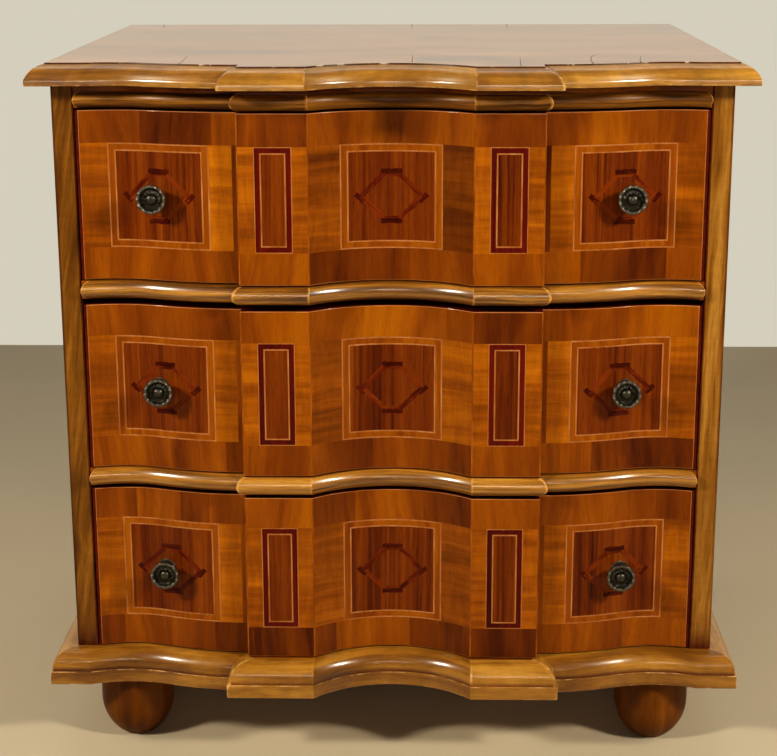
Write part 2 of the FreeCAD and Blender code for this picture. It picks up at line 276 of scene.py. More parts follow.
def plinth_section():
    """Ovolo above a fillet, with painted shade in the root between them."""
    z0, z1 = height_range("plinth_wings")
    face_x, face_z = PLINTH_FACE
    start = (PLINTH_SHOULDER, z1 - PLINTH_DROP)
    shoulder = round_points(start, (face_x, z0 + face_z), PLINTH_BULGE, ROUND_STEPS)
    root = [(x, z0 + z, ROOT_PAINTED_SHADE) for x, z in PLINTH_ROOT]
    fillet = arris(PLINTH_WIDTH, z0 + PLINTH_FILLET, PLINTH_ARRIS)
    foot = under_arris(PLINTH_WIDTH, z0, PLINTH_UNDER_ARRIS)
    return [(0, z0, 0), (0, z1, 0)] + shoulder + root + fillet + foot


def bead_section(node, projection):
    """Half-round bead, with painted shade where it meets the rail."""
    z0, z1 = height_range(node)
    points = round_points((0, z1), (0, z0), projection, ROUND_STEPS)
    return [(*points[0][:2], BEAD_ROOT_PAINTED_SHADE)] + points[1:-1] + [(*points[-1][:2], BEAD_ROOT_PAINTED_SHADE)]


WING_STEPS = 56
CENTRE_STEPS = 52
SIDE_STEPS = 11
BLOCK_STEPS = 8


def wing_columns(line, outer_x, side):
    reach = outer_x - line.block_half

    def column(share):
        def place(u, z):
            x = line.block_half + u + reach * share
            return side * x, line.wing(x) - u, z
        return place
    columns = [(column(share), 0.0) for share in span(0, 1, WING_STEPS)[:-1]]
    return columns + [(column(1 - RUB / reach), 0.0), (column(1), 1.0)]


def block_columns(line, side):
    edge = line.block_half

    def returned(u, z):
        return side * (edge + u), line.wing(edge + u) - u, z

    def return_side(back):
        return lambda u, z: (side * (edge + u), line.block_y - u + back, z)

    def front(share):
        def place(u, z):
            first = edge + u - CORNER_WEAR
            return side * (first + (CENTRE_HALF - first) * share), line.block_y - u, z
        return place
    columns = [(returned, 0.0), (return_side(CORNER_WEAR + RUB), 0.0), (return_side(CORNER_WEAR), 1.0),
               (front(0), 1.0)]
    columns += [(front(share), 0.0) for share in [0.03] + span(0.1, 0.9, BLOCK_STEPS) + [0.97]]
    return columns + [(front(1), 0.8)]


def centre_columns(line):
    def column(x):
        return lambda u, z: (x, line.centre(x) - u, z)
    inner = CENTRE_HALF - RUB
    columns = [(column(x), 0.0) for x in span(-inner, inner, CENTRE_STEPS)]
    return [(column(-CENTRE_HALF), 0.8)] + columns + [(column(CENTRE_HALF), 0.8)]


def side_columns(line, corner_x, back_y, side):
    def column(share):
        def place(u, z):
            first = line.base - u
            return side * (corner_x + u), first + (back_y - first) * share, z
        return place
    columns = [(column(0), 1.0), (column(RUB / back_y), 0.0)]
    return columns + [(column(share), 0.0) for share in span(0.05, 1, SIDE_STEPS)]


def edge_moulding(prefix, line, section, corner_x, back_y, material, tones):
    """Sides, wings, blocks and centre of a moulding that runs round a board."""
    runs = {
        "sides": [side_columns(line, corner_x, back_y, side) for side in (-1, 1)],
        "wings": [wing_columns(line, corner_x, side) for side in (-1, 1)],
        "blocks": [block_columns(line, side) for side in (-1, 1)],
        "centre": [centre_columns(line)],
    }
    for name, columns in runs.items():
        shell = Shell()
        for run in columns:
            sweep(shell, run, section, tone=tones[name] + dice.uniform(-0.1, 0.1))
        node = prefix + "_" + name
        shell.build(node + "_run", "carcass", [material], [node])


def bead_columns(line, width, side):
    """A wing's bead, returned at the stile."""
    end_x = OPENING_HALF - width
    columns = wing_columns(line, end_x, side)

    def returned(u, z):
        return side * (end_x + u), line.wing(end_x + u), z
    return columns + [(returned, 0.0)]


def front_bead(node, projection, material, tone):
    """A bead across the front, in lengths that follow its wings, blocks and centre."""
    section = bead_section(node, projection)
    shell = Shell()
    for side in (-1, 1):
        wing = bead_columns(carcass_line, projection, side)
        sweep(shell, wing, section, tone=tone + dice.uniform(-0.15, 0.15))
        sweep(shell, block_columns(carcass_line, side), section, tone=tone + dice.uniform(-0.1, 0.2))
    sweep(shell, centre_columns(carcass_line), section, tone=tone + dice.uniform(-0.15, 0.15))
    shell.build(node + "_run", "carcass", [material], [node])


def lathe(shell, stand, profile, steps, lobes=0, tone=0.5):
    """Turn (radius, height, wear, lobe depth) points about the z axis of a stand, with lobes cut round."""
    start, side = shuffle()
    widest = max(radius for radius, *rest in profile)
    rings = []
    for radius, height, wear, cut in profile:
        ring = []
        for step in range(steps if radius else 1):
            turn = 2 * math.pi * step / steps
            reach = height - cut * (0.5 - 0.5 * math.cos(lobes * turn))
            place = stand @ Vector((radius * math.cos(turn), radius * math.sin(turn), reach))
            ring.append(shell.point(*place, wear))
        rings.append(ring)
    lengths = running_lengths([point[:2] for point in profile], start)
    arc = 2 * math.pi * widest / steps
    for ring, following, a0, a1 in zip(rings, rings[1:], lengths, lengths[1:]):
        for step in range(steps):
            after = (step + 1) % steps
            c0, c1 = side + arc * step, side + arc * (step + 1)
            if len(ring) == 1:
                verts = (ring[0], following[step], following[after])
                grain = ((a0, c0), (a1, c0), (a1, c1))
            elif len(following) == 1:
                verts = (ring[step], ring[after], following[0])
                grain = ((a0, c0), (a0, c1), (a1, c1))
            else:
                verts = quad(ring, following, step, after)
                grain = ((a0, c0), (a0, c1), (a1, c1), (a1, c0))
            shell.face(verts, grain, tone=tone)


FOOT_RADIUS = 43.5
FOOT_ARRIS = 1.0
FOOT_UPRIGHT_END = 60.0
FOOT_ROUND_HEIGHT = 46.0
FOOT_END_RADIUS = 20.0
FOOT_INSET_X = 64.0
FRONT_FOOT_INSET = 34.0
BACK_FOOT_INSET = 50.0
FOOT_RUBBED_HEIGHT = 3.0
FOOT_ROUND_STEPS = 18
FOOT_TURN_STEPS = 72


def turned_feet(material):
    """Bun feet: upright above, rounded in to a small flat on the floor."""
    height = height_range("feet")[1]
    run = FOOT_RADIUS - FOOT_END_RADIUS
    chord = math.hypot(run, FOOT_ROUND_HEIGHT)
    turn_radius = chord ** 2 / (2 * run)
    bulge = turn_radius - math.sqrt(turn_radius ** 2 - (chord / 2) ** 2)
    rounded = round_points((FOOT_RADIUS, FOOT_ROUND_HEIGHT), (FOOT_END_RADIUS, 0), bulge, FOOT_ROUND_STEPS)
    profile = [(0, height, 0, 0), (FOOT_RADIUS - FOOT_ARRIS, height, 0, 0),
               (FOOT_RADIUS, height - FOOT_ARRIS, 0, 0), (FOOT_RADIUS, FOOT_UPRIGHT_END, 0, 0)]
    profile += [(r, z, 0.5 if z < FOOT_RUBBED_HEIGHT else wear, 0) for r, z, wear in rounded]
    profile.append((0, 0, 0, 0))
    shell = Shell()
    for side in (-1, 1):
        for y in (FRONT_FOOT_INSET, CARCASS_DEPTH - BACK_FOOT_INSET):
            place = Matrix.Translation((side * (CARCASS_HALF - FOOT_INSET_X), y, 0))
            lathe(shell, place, profile, FOOT_TURN_STEPS, tone=0.5 + 0.2 * side)
    shell.build("bun_feet", "carcass", [material], ["feet"])


STILE_DEPTH = 70.0
STILE_ARRIS = 2.4
STILE_ARRIS_BULGE = 0.7
STILE_ARRIS_STEPS = 5
# How much the stile's rounded outer arris is darkened
STILE_ARRIS_DARKENING = -0.6
STILE_FLAT = 3.4
# A stile's inner edge as (out from the opening, back from the face, wear), with wear below 0 to paint shade
# along the gap
STILE_EDGE = ((0, STILE_DEPTH, -1), (0, 1.8, -1), (0.3, 0.8, -1), (0.9, 0.2, -1), (1.9, 0, -0.9),
              (2.8, 0, 0))
# Its foot as (height, wear), with wear below 0 to paint shade that darkens towards the bottom, and the
# height where the painted shade ends
STILE_FOOT = ((0, -1.0), (5, -0.9), (26, -0.3))
STILE_SHADE_TOP = 60
STILE_STEPS = 22


def stile_board(node, side, material, tone, lean):
    """Upright corner board with a rounded outer arris; its grain leans by some degrees."""
    z0, z1 = height_range(node)
    corner = round_points((CARCASS_HALF - STILE_ARRIS, 0), (CARCASS_HALF, STILE_ARRIS), STILE_ARRIS_BULGE,
                          STILE_ARRIS_STEPS, STILE_ARRIS_DARKENING)
    section = [(OPENING_HALF + u, v, wear) for u, v, wear in STILE_EDGE]
    section += [(CARCASS_HALF - STILE_FLAT, 0, 0)] + corner
    section += [(CARCASS_HALF, STILE_FLAT, 0), (CARCASS_HALF, STILE_DEPTH, 0)]
    shell = Shell()

    def column(z):
        return lambda u, v: (side * u, v, z)
    # The lowest columns carry the painted shade of the stile's foot
    columns = [(column(z0 + rise), wear) for rise, wear in STILE_FOOT]
    columns += [(column(z), 0.0) for z in span(z0 + STILE_SHADE_TOP, z1, STILE_STEPS)]
    sweep(shell, columns, section, tone=tone, lean=math.radians(-side * lean))
    shell.build(node + "_board", "carcass", [material], [node])


# The point of the outline at the front end of the joint between the top's two leaves
JOINT = 8
TOP_CENTRE_STEPS = 28
TOP_WING_STEPS = 60
# Worn arris of the top as (inset, drop, wear)
TOP_ARRIS = ((0.9, 0, 0.0), (0.5, 0, 0.7), (0.15, 0.15, 1.0), (0.0, 0.5, 0.4))
CHECK_WIDTH = 1.1
CHECK_DEPTH = 0.4
CHECK_TAPER_SHARE = 0.7
CHECK_PROUD = 0.03
# Paths of the checks in plan, each from the edge inwards
CHECKS = (
    ((-332, 573), (-329, 545), (-322, 506)), ((18, 573), (17, 540), (19, 500)),
    ((22.5, -6), (23, 30), (22, 88)), ((139, -48), (140, -14), (143, 53)),
    ((151, 572), (150, 540), (148, 497)), ((-230, -22), (-230, 13), (-234, 82)),
    ((218, -24), (219, 20), (225, 70), (237, 98)), ((271, -8), (273, 20), (280, 69)),
)


def top_outline():
    """Right half of the top's outline, front to back, as place and the way inwards along x and y."""
    edge = top_line.block_half
    points = [(x, top_line.centre(x), 0, 1) for x in span(0, CENTRE_HALF, TOP_CENTRE_STEPS)]
    points += [(edge, top_line.block_y, -1, 1), (edge, top_line.swell_y, -1, 1)]
    points += [(x, top_line.wing(x), 0, 1) for x in span(edge + 1, TOP_HALF - 1, TOP_WING_STEPS)]
    points += [(TOP_HALF, top_line.base, -1, 1), (TOP_HALF, TOP_BACK, -1, -1)]
    return points + [(points[JOINT][0], TOP_BACK, 0, -1), (0, TOP_BACK, 0, -1)]


def check(shell, path, level, material):
    """An open check in the veneer: a dark sliver along a path, widest at its start."""
    rows = []
    for index, (x, y) in enumerate(path):
        half = CHECK_WIDTH / 2 * (1 - CHECK_TAPER_SHARE * index / (len(path) - 1))
        corners = ((-half, level), (half, level), (0, level - CHECK_DEPTH))
        rows.append([shell.point(x + off, y, z) for off, z in corners])
    for row, following in zip(rows, rows[1:]):
        for here, after in ((0, 1), (1, 2), (2, 0)):
            shell.face(quad(row, following, here, after), ((0, 0), (0, 1), (9, 1), (9, 0)), material)
    for row in (rows[0], rows[-1]):
        shell.face(row, ((0, 0), (0, 1), (1, 1)), material)


def top_board(materials):
    """The top veneered in two matched leaves, with open checks and a worn arris above the quirk, whose edge
    is painted dark as shade.
    """
    z0, z1 = height_range("top_board")
    right = top_outline()
    outline = right + [(-x, y, -in_x, in_y) for x, y, in_x, in_y in reversed(right[1:-1])]
    levels = [(inset, z1 - drop, wear) for inset, drop, wear in TOP_ARRIS] + [(0.0, z0, 0.0)]
    shell = Shell()
    start, side = shuffle()
    rings = [[shell.point(x + in_x * inset, y + in_y * inset, z, wear) for x, y, in_x, in_y in outline]
             for inset, z, wear in levels]
    grain = [(start + x, side + y) for x, y, *rest in outline]
    count = len(outline)
    back = len(right) - 2
    matched = [(start - along, across) for along, across in grain]
    shell.face(rings[0][JOINT:back + 1], matched[JOINT:back + 1], 0, 0.4)
    shell.face(rings[0][back:] + rings[0][:JOINT + 1], grain[back:] + grain[:JOINT + 1], 0, 0.65)
    shell.face(rings[-1], grain, 1)
    for path in CHECKS:
        check(shell, path, z1 + CHECK_PROUD, 2)
    for level, (ring, following) in enumerate(zip(rings, rings[1:])):
        for index in range(count):
            after = (index + 1) % count
            bare = level and outline[index][1] == outline[after][1] == TOP_BACK
            # Below the worn arris the board's edge is dark, painted shade in the quirk
            material = 1 if bare else 0 if level < 2 else 2
            ends = [grain[index], grain[after], grain[after], grain[index]]
            shell.face(quad(ring, following, index, after), ends, material)
    shell.build("top_board_veneer", "carcass", materials, ["top_board"])


# Materials


def colour(red, green, blue):
    """Linear colour from screen values of 0 to 255."""
    def linear(value):
        share = value / 255
        return share / 12.92 if share <= 0.04045 else ((share + 0.055) / 1.055) ** 2.4
    return linear(red), linear(green), linear(blue), 1.0


class Shader:
    """A material's node tree, built one node at a time."""

    def __init__(self, name):
        self.material = bpy.data.materials.new(name)
        self.material.use_nodes = True
        self.tree = self.material.node_tree
        self.tree.nodes.clear()
        self.output = self.tree.nodes.new("ShaderNodeOutputMaterial")

    def node(self, kind, settings=None, values=(), **inputs):
        """A new node with its settings, its first sockets in order, and other sockets by name."""
        node = self.tree.nodes.new(kind)
        for key, value in (settings or {}).items():
            setattr(node, key, value)
        for socket, value in zip(node.inputs, values):
            self.put(socket, value)
        for key, value in inputs.items():
            self.put(node.inputs[key.replace("_", " ")], value)
        return node

    def put(self, socket, value):
        if isinstance(value, bpy.types.NodeSocket):
            self.tree.links.new(value, socket)
        else:
            socket.default_value = value

    def math(self, operation, first, second):
        return self.node("ShaderNodeMath", {"operation": operation}, (first, second)).outputs[0]

    def vector_math(self, operation, first, second):
        return self.node("ShaderNodeVectorMath", {"operation": operation}, (first, second)).outputs[0]

    def noise(self, vector, scale, detail, roughness, distortion=0.0):
        """Noise at a scale along the grain and another across it."""
        along, across = scale
        stretched = self.vector_math("MULTIPLY", vector, (along, across, across))
        node = self.node("ShaderNodeTexNoise", Vector=stretched, Scale=1.0, Detail=detail,
                         Roughness=roughness, Distortion=distortion)
        return node.outputs[0]

    def ramp(self, value, stops):
        node = self.node("ShaderNodeValToRGB", Fac=value)
        ramp = node.color_ramp
        while len(ramp.elements) < len(stops):
            ramp.elements.new(0.5)
        for element, (place, tint) in zip(ramp.elements, stops):
            element.position = place
            element.color = colour(*tint)
        return node.outputs[0]

    def fade(self, value, low, high, start=0.0, end=1.0):
        node = self.node("ShaderNodeMapRange", Value=value, From_Min=low, From_Max=high, To_Min=start,
                         To_Max=end)
        return node.outputs[0]

    def mix(self, kind, share, first, second):
        return self.node("ShaderNodeMixRGB", {"blend_type": kind}, (share, first, second)).outputs[0]

    def attribute(self, name):
        return self.node("ShaderNodeAttribute", {"attribute_name": name}).outputs["Fac"]

    def bump(self, height, strength, distance):
        return self.node("ShaderNodeBump", Height=height, Strength=strength, Distance=distance).outputs[0]

    def finish(self, **inputs):
        surface = self.node("ShaderNodeBsdfPrincipled", **inputs)
        self.tree.links.new(surface.outputs[0], self.output.inputs[0])
        return self.material


def grain_vector(shader, grain):
    """Coordinates in metres, along the grain first. Grain is uv for pieces made here, or an axis."""
    node = shader.node("ShaderNodeTexCoord")
    if grain == "uv":
        return node.outputs["UV"]
    split = shader.node("ShaderNodeSeparateXYZ", Vector=node.outputs["Object"]).outputs
    order = {"x": (0, 1, 2), "y": (1, 0, 2), "z": (2, 0, 1)}[grain]
    return shader.node("ShaderNodeCombineXYZ", values=[split[axis] for axis in order]).outputs[0]


# Tint of the darkening: painted shade in creases and at the stiles' inner edges and feet, and the stiles'
# darker outer arrises
DARKENING_TINT = (150, 92, 66)
RUBBED_METAL = (150, 143, 128)


def wood(name, stops, grain="uv", streak=(5, 120), broad=(2.5, 14), wander=0.004, contrast=1.0, pores=0.25,
         ripple=0.0, ripple_pitch=170, tone=0.5, wear=0.0, wear_tint=(214, 158, 84), chips=(0.35, 0.62),
         gloss=0.5, gloss_blur=0.08, rough=(0.34, 0.5), wave=0.2, shine=0.12, varnish=1.5):
    """Wood with wandering streaks, broad bands, pores and cross ripple, under a coat of varnish.

    The wear attribute above 0 is rubbed pale; below 0 it darkens the wood: painted shade in creases and at
    the stiles' inner edges and feet, and a darker outer arris on the stiles.
    """
    shader = Shader(name)
    straight = grain_vector(shader, grain)
    drift = shader.noise(straight, (9, 14), 2.0, 0.5)
    shift = shader.fade(drift, 0.0, 1.0, -wander, wander)
    sideways = shader.node("ShaderNodeCombineXYZ", Y=shift, Z=shift).outputs[0]
    along = shader.vector_math("ADD", straight, sideways)
    streaks = shader.noise(along, streak, 6.0, 0.62, 0.4)
    bands = shader.noise(along, broad, 3.0, 0.5, 0.5)
    busy = shader.noise(straight, (8, 18), 1.0, 0.5)
    depth = shader.fade(busy, 0.3, 0.7, 0.35 * contrast, 1.0 * contrast)
    figure = shader.math("MULTIPLY", shader.math("SUBTRACT", streaks, 0.5), depth)
    figure = shader.math("ADD", figure, shader.math("MULTIPLY", shader.math("SUBTRACT", bands, 0.5), 0.7))
    if tone:
        lighter = shader.fade(shader.attribute("tone"), 0.0, 1.0, -0.3 * tone, 0.3 * tone)
        figure = shader.math("ADD", figure, lighter)
    tint = shader.ramp(shader.math("ADD", figure, 0.5), stops)
    flecks = shader.noise(along, (60, 800), 3.0, 0.6)
    tint = shader.mix("MULTIPLY", 1.0, tint, shader.fade(flecks, 0.30, 0.52, 1.0 - pores, 1.0))
    if ripple:
        bars = shader.noise(along, (ripple_pitch, 30), 2.0, 0.5, 0.8)
        tint = shader.mix("MULTIPLY", 1.0, tint, shader.fade(bars, 0.3, 0.7, 1.0 - ripple, 1.0 + ripple))
    if wear:
        rub_and_shade_noise = shader.noise(straight, (60, 60), 4.0, 0.65)
        wear_and_shade_level = shader.attribute("wear")
        rubbed = shader.fade(rub_and_shade_noise, *chips, 0.0, wear)
        share = shader.math("MULTIPLY", shader.fade(wear_and_shade_level, 0.0, 1.0), rubbed)
        tint = shader.mix("MIX", share, tint, colour(*wear_tint))
        # Darkening where the attribute is below 0: painted shade, and the stiles' darker outer arrises
        darkening_mask = shader.math("MULTIPLY", shader.fade(wear_and_shade_level, 0.0, -1.0), shader.fade(rub_and_shade_noise, 0.2, 0.5, 0.6, 1.0))
        tint = shader.mix("MULTIPLY", darkening_mask, tint, colour(*DARKENING_TINT))
    patchy = shader.noise(straight, (9, 16), 3.0, 0.6)
    roughness = shader.fade(patchy, 0.3, 0.7, *rough)
    rise = shader.math("ADD", shader.math("MULTIPLY", flecks, 0.6), shader.math("MULTIPLY", streaks, 0.4))
    inputs = {"Base_Color": tint, "Roughness": roughness, "Normal": shader.bump(rise, 0.3, 0.0002),
              "Specular_IOR_Level": shine, "Coat_Weight": gloss, "Coat_Roughness": gloss_blur,
              "Coat_IOR": varnish}
    if gloss:
        swell = shader.noise(straight, (14, 30), 2.0, 0.5)
        inputs["Coat_Normal"] = shader.bump(swell, wave, 0.0006)
    return shader.finish(**inputs)


GOLD = [(0.2, (84, 39, 2)), (0.42, (118, 60, 3)), (0.56, (136, 73, 4)), (0.8, (164, 96, 8))]
BAND = [(0.2, (66, 23, 2)), (0.42, (109, 52, 2)), (0.58, (132, 70, 3)), (0.8, (154, 90, 5))]
FIELD = [(0.24, (52, 11, 2)), (0.42, (86, 33, 2)), (0.56, (104, 46, 3)), (0.78, (124, 62, 5))]
RUST = [(0.25, (92, 40, 2)), (0.5, (124, 62, 3)), (0.75, (146, 82, 5))]
ROSEWOOD = [(0.3, (46, 6, 3)), (0.55, (78, 13, 4)), (0.8, (100, 23, 5))]
PEACH = [(0.25, (118, 65, 24)), (0.5, (148, 92, 46)), (0.8, (170, 118, 74))]
AMBER = [(0.25, (92, 42, 4)), (0.5, (122, 63, 9)), (0.8, (158, 94, 32))]
MOULDING = [(0.2, (73, 40, 8)), (0.42, (114, 72, 18)), (0.58, (143, 98, 28)), (0.8, (176, 128, 48))]
BEAD = [(0.2, (60, 34, 6)), (0.42, (106, 66, 15)), (0.58, (144, 96, 28)), (0.8, (180, 130, 52))]
# The frieze bead's wood is a darker copy of the bead wood, painted shade under the top moulding
FRIEZE = [(0.2, (50, 26, 4)), (0.42, (90, 53, 12)), (0.58, (122, 78, 22)), (0.8, (156, 110, 44))]
PLINTH = [(0.2, (69, 38, 7)), (0.42, (114, 72, 18)), (0.58, (147, 101, 32)), (0.8, (180, 132, 58))]
STILE = [(0.2, (62, 34, 5)), (0.42, (94, 56, 9)), (0.58, (118, 75, 18)), (0.8, (150, 106, 42))]
TOP = [(0.2, (102, 54, 22)), (0.42, (148, 88, 42)), (0.58, (172, 108, 56)), (0.8, (194, 132, 78))]
FOOT = [(0.2, (54, 24, 2)), (0.42, (87, 45, 4)), (0.62, (112, 64, 9)), (0.85, (136, 84, 18))]
# Dark of the quirk, painted shade, and of the open checks in the top
QUIRK_SHADE_AND_CHECKS = [(0.3, (34, 14, 4)), (0.7, (66, 32, 9))]
STRAPS = [(0.3, (58, 11, 2)), (0.46, (78, 21, 2)), (0.6, (94, 32, 2)), (0.74, (110, 46, 3))]
# Dark red of the drawer fronts' cores; the strip that shows at each end of a face is painted shade of the
# gap by the stiles
RIM_SHADE = [(0.3, (54, 8, 3)), (0.7, (90, 24, 6))]
PINE = [(0.25, (150, 104, 52)), (0.45, (190, 146, 88)), (0.62, (208, 168, 112)), (0.85, (222, 188, 136))]

FRONT = {"gloss": 0.16, "shine": 0.06}
gold = wood("gold_veneer", GOLD, streak=(5, 90), broad=(3, 20), ripple=0.12, pores=0.14, tone=0.8, **FRONT)
band = wood("crossband_veneer", BAND, streak=(4, 70), broad=(3, 14), wander=0.01, pores=0.2, contrast=0.6,
            tone=0.7, **FRONT)
field = wood("field_veneer", FIELD, streak=(2.5, 190), broad=(1.5, 34), pores=0.3, contrast=1.3,
             wander=0.002, **FRONT)
rust = wood("rust_banding", RUST, streak=(7, 90), pores=0.15, **FRONT)
rosewood = wood("rosewood_banding", ROSEWOOD, streak=(8, 200), pores=0.2, **FRONT)
STRING = {"streak": (30, 200), "broad": (22, 30), "pores": 0.1, **FRONT}
peach = wood("stringing_and_edge_highlight", PEACH, **STRING)
amber = wood("edge_highlight_and_wear", AMBER, **STRING)
EDGE = {"streak": (4, 80), "broad": (7, 26), "tone": 0.7, "ripple_pitch": 50, "chips": (0.48, 0.68)}
moulding_wood = wood("moulding_wood", MOULDING, wear=0.9, ripple=0.16, contrast=0.9, gloss=1.0,
                     gloss_blur=0.26, varnish=1.8, wave=0.6, wear_tint=(222, 172, 104), **EDGE)
plinth_wood = wood("plinth_wood", PLINTH, wear=0.7, ripple=0.08, contrast=0.8, gloss=0.75, gloss_blur=0.24,
                   varnish=1.6, wave=0.35, shine=0.06, wear_tint=(226, 184, 124), **EDGE)
ROUND = {"streak": (3, 170), "broad": (5, 90), "wear": 0.8, "tone": 0.6, "contrast": 1.7}
bead_wood = wood("bead_wood", BEAD, gloss=0.9, gloss_blur=0.26, varnish=1.7, **ROUND)
# The frieze bead, darker as painted shade under the top moulding
frieze_wood = wood("frieze_wood", FRIEZE, gloss=0.12, gloss_blur=0.25, **ROUND)
stile_wood = wood("stile_wood", STILE, streak=(6, 110), broad=(5, 60), wander=0.006, wear=0.7, ripple=0.05,
                  contrast=1.2, gloss=0.3, gloss_blur=0.2, shine=0.06)
side_wood = wood("side_veneer", BAND, grain="z", streak=(2.5, 45), tone=0, pores=0.2)
top_wood = wood("top_veneer", TOP, streak=(2.2, 20), broad=(1.6, 6), tone=0.4, wander=0.05, contrast=1.5,
                wear=1.0, wear_tint=(238, 222, 190), chips=(0.56, 0.66), gloss=1.0, gloss_blur=0.12,
                wave=0.04)
foot_wood = wood("foot_wood", FOOT, streak=(10, 60), tone=0.4, contrast=0.8, gloss=0.15, gloss_blur=0.25,
                 shine=0.05, wear=0.5)
strap_wood = wood("strap_veneer", STRAPS, streak=(40, 300), broad=(34, 34), pores=0.2, contrast=1.2,
                  tone=0.9, **FRONT)
rim_shade_wood = wood("rim_shade_wood", RIM_SHADE, grain="x", tone=0, gloss=0.1, gloss_blur=0.3, shine=0.05)
quirk_shade_and_checks = wood("quirk_shade_and_checks", QUIRK_SHADE_AND_CHECKS, tone=0, wear=0.9, wear_tint=(232, 212, 176), chips=(0.58, 0.68),
                  gloss=0.2, gloss_blur=0.4)
rail_wood = wood("rail_wood", BAND, grain="x", tone=0, gloss=0.3, gloss_blur=0.2)
pine = {axis: wood("pine_" + axis, PINE, grain=axis, streak=(1.2, 110), broad=(0.5, 24), wander=0.006,
                   pores=0.12, tone=0, gloss=0.0, rough=(0.55, 0.75)) for axis in "xy"}


def metal(name, dark, light, roughness, patina):
    """Aged metal, darker in blotches, and paler where it is worn."""
    shader = Shader(name)
    place = shader.node("ShaderNodeTexCoord").outputs["Object"]
    blotches = shader.noise(place, (260, 260), 5.0, 0.65)
    grit = shader.noise(place, (1500, 1500), 3.0, 0.6)
    tint = shader.ramp(blotches, [(0.32, dark), (0.68, light)])
    wear_and_shade_level = shader.math("MULTIPLY", shader.attribute("wear"), patina)
    tint = shader.mix("MIX", wear_and_shade_level, tint, colour(*RUBBED_METAL))
    rough = shader.fade(grit, 0.3, 0.7, *roughness)
    relief = shader.bump(grit, 0.4, 0.0002)
    return shader.finish(Base_Color=tint, Metallic=0.9, Roughness=rough, Normal=relief)


bronze = metal("aged_bronze", (17, 15, 11), (62, 58, 48), (0.28, 0.5), 0.4)
steel = metal("dull_steel", (90, 90, 88), (140, 138, 134), (0.3, 0.5), 0.0)


# Marquetry of a drawer front

# Places are across from the middle of the front. Rings are inwards from a panel's edge.
# At its rim the skin thins to the edge share of the veneer, and its back stands off by the back share.
VENEER = 0.7
FACE_MATERIALS = [gold, band, field, rust, rosewood, peach, amber]
GOLD_ID, BAND_ID, FIELD_ID, RUST_ID, ROSE_ID, PEACH_ID, AMBER_ID = range(len(FACE_MATERIALS))
# Width of the pale edge and arris lines, partly worn veneer and partly painted highlight
EDGE_LINE = 0.8
CROSSBAND = 36.5
WING_SQUARE = (201.0, 316.5)
CENTRE_SQUARE = (-57.0, 57.0)
BLOCK_PANEL = (108.5, 150.5)
SQUARE_RINGS = (1.6, 7.6, 9.3)
PANEL_RINGS = (1.0, 6.7, 8.4)
# The veneer stops short of the front's ends, so that the dark core shows there as painted shade
FRONT_HALF = 346.8
EDGE_SHARE = 0.35
EDGE_SUPPORT = 1.8
BACK_SHARE = 0.04
# Width of the darker crossband strip on each wing beside the block's step: partly a real band, partly
# painted shade by the step
STEP_STRIP = 7.0
FRONT_STEP = 4
BLOCK_STEP = 12
HEIGHT_STEP = 30

# Leaves of the top and bottom crossbands from left to right, as (right edge, how light).
# 0 is dark and 1 is light, and a very dark leaf is below 0.
BAND_LEAVES = {
    "top_drawer": (
        ((-279, 0.4), (-197, 0.15), (-BLOCK_HALF, 0.4), (-136, 0.0), (-CENTRE_HALF, 0.1), (-57, 0.35),
         (-13, 0.5), (59, 0.6), (CENTRE_HALF, 0.65), (BLOCK_HALF, 0.15), (218, 0.3), (293, 0.65),
         (OPENING_HALF, 0.5)),
        ((-319, 0.3), (-232, 0.5), (-BLOCK_HALF, 0.45), (-CENTRE_HALF, 0.5), (-42, 0.15), (20, 0.25),
         (CENTRE_HALF, 0.35), (BLOCK_HALF, 0.55), (210, 0.6), (308, 0.0), (OPENING_HALF, 0.5))),
    "middle_drawer": (
        ((-BLOCK_HALF, 0.5), (-155, 0.3), (-CENTRE_HALF, 0.5), (62, 0.65), (CENTRE_HALF, 0.55),
         (BLOCK_HALF, -0.4), (191, 0.25), (OPENING_HALF, 0.5)),
        ((-190, 0.45), (-BLOCK_HALF, 0.3), (-CENTRE_HALF, 0.35), (5, 0.35), (72, 0.4), (CENTRE_HALF, 0.15),
         (BLOCK_HALF, 0.45), (228, 0.5), (OPENING_HALF, -0.15))),
    "bottom_drawer": (
        ((-299, 0.4), (-246, 0.5), (-212, 0.15), (-BLOCK_HALF, 0.5), (-CENTRE_HALF, 0.55), (-43, 0.35),
         (36, 0.45), (CENTRE_HALF, 0.2), (BLOCK_HALF, 0.5), (216, 0.4), (306, 0.5), (OPENING_HALF, 0.25)),
        ((-319, 0.3), (-262, 0.5), (-209, 0.35), (-BLOCK_HALF, 0.2), (-CENTRE_HALF, -0.1), (-66, 0.3),
         (20, 0.5), (CENTRE_HALF, 0.2), (BLOCK_HALF, -0.1), (188, 0.5), (271, 0.4), (OPENING_HALF, 0.45))),
}
# How light the leaves beside the panels are; the dark step leaves are partly painted shade. The fields have
# one tone, and so have the lines and borders.
LEAVES = ("left_wing_outer", "left_wing_inner", "left_wing_step", "centre_left", "centre_right",
          "right_wing_step", "right_wing_inner", "right_wing_outer")
LEAF_TONES = {
    "top_drawer": (0.4, 0.8, 0.15, 0.35, 0.0, 0.0, 0.6, 0.4),
    "middle_drawer": (0.4, 0.7, 0.35, 0.35, 0.7, 0.25, 0.7, 0.45),
    "bottom_drawer": (0.5, 0.8, 0.35, 0.45, 0.35, 0.35, 0.65, 0.5),
}
FIELD_LEAF = 0.55
LIGHT_LEAF = 0.6
LEAF_LEAN = 0.14


